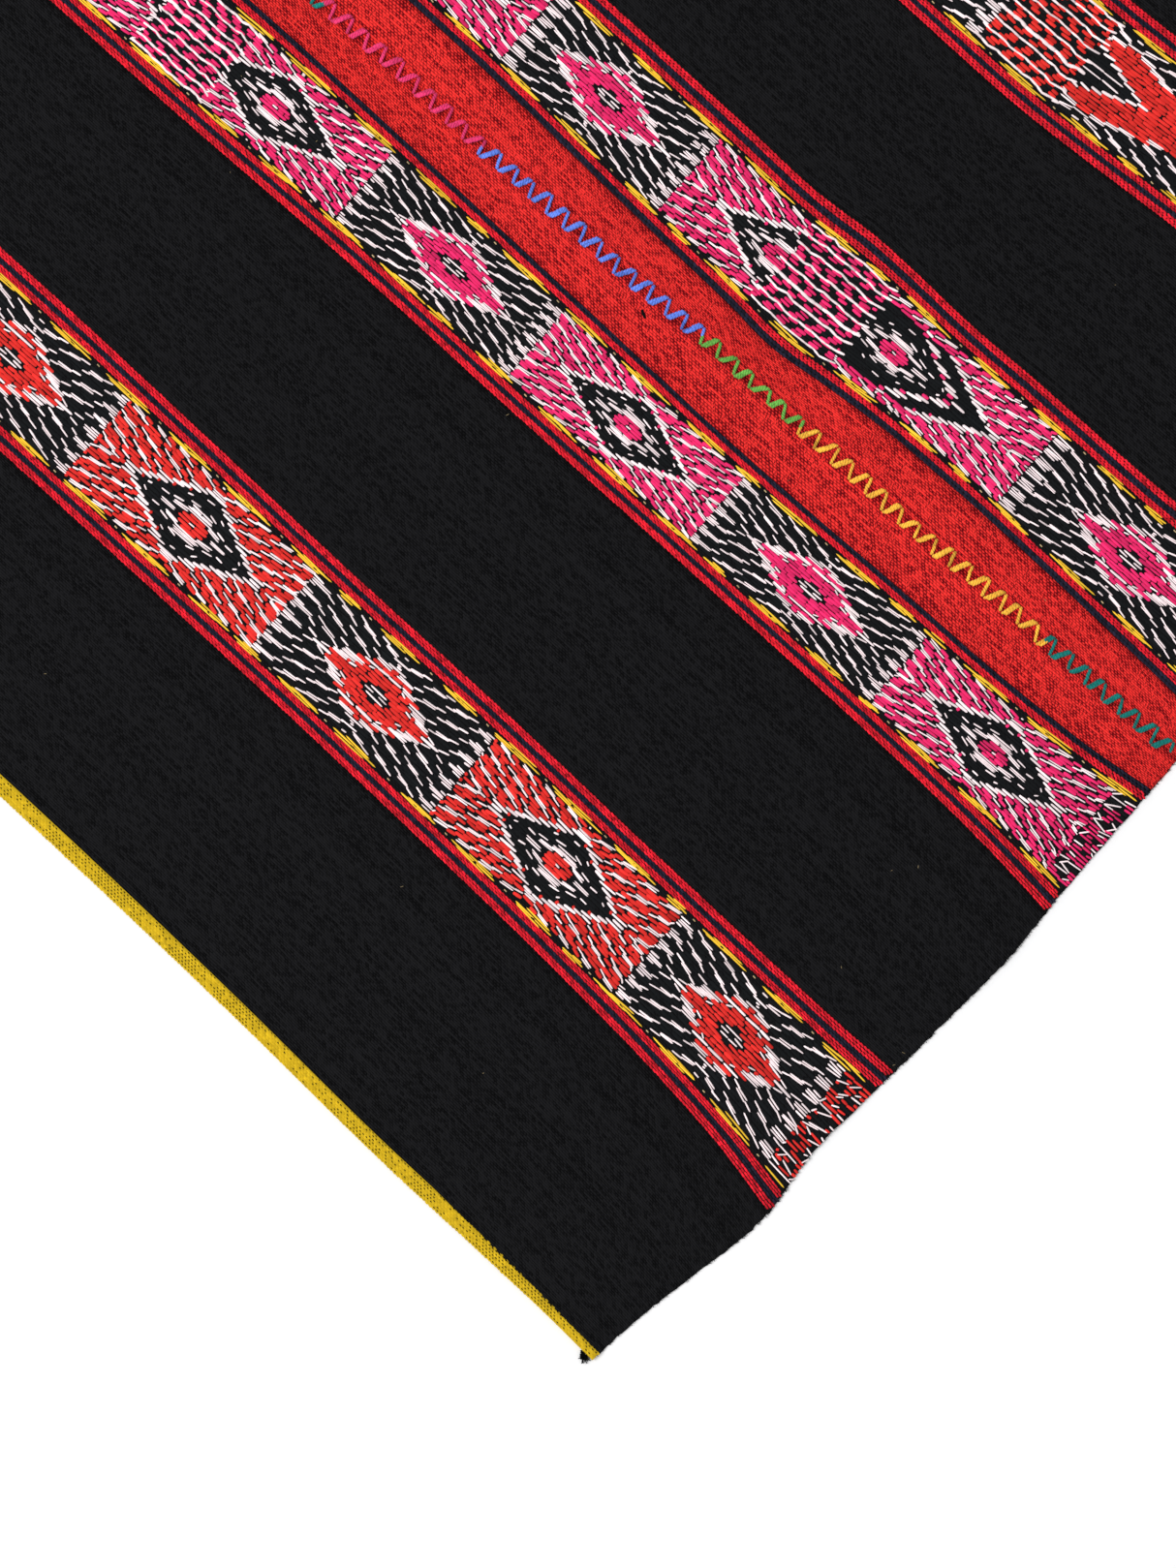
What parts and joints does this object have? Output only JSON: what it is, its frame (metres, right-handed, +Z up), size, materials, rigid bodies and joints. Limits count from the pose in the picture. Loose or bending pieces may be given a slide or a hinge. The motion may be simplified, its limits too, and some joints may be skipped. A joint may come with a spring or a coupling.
{
  "type": "andean carrying cloth",
  "caption": "Flat handwoven carrying cloth of two black panels sewn edge to edge, with patterned bands, a red centre and a woven edge tube.",
  "frame": {"origin": "middle of the cloth's bounding box, on the surface that it lies on", "axes": "+Z up off the surface, +Y along the warp from the near end edge to the far one, +X across the warp from the left panel to the right one"},
  "size_m": [0.7923, 0.901, 0.0034],
  "materials": {
    "black_wool": "matt plain warp-faced weave",
    "yellow_wool": "matt fine tubular weave",
    "knot_yarn": "matt fuzzy yarn",
    "red_wool": "matt plain warp-faced weave",
    "pattern_wool": "matt raised pick-up weave in several colours",
    "seam_yarn": "soft lustrous plied yarn in several colours"
  },
  "bodies": {
    "root": {"panel_left": "black_wool", "panel_right": "black_wool", "edge_tube_left": "yellow_wool", "edge_tube_right": "yellow_wool", "edge_knot": "knot_yarn"}
  },
  "joints": []
}
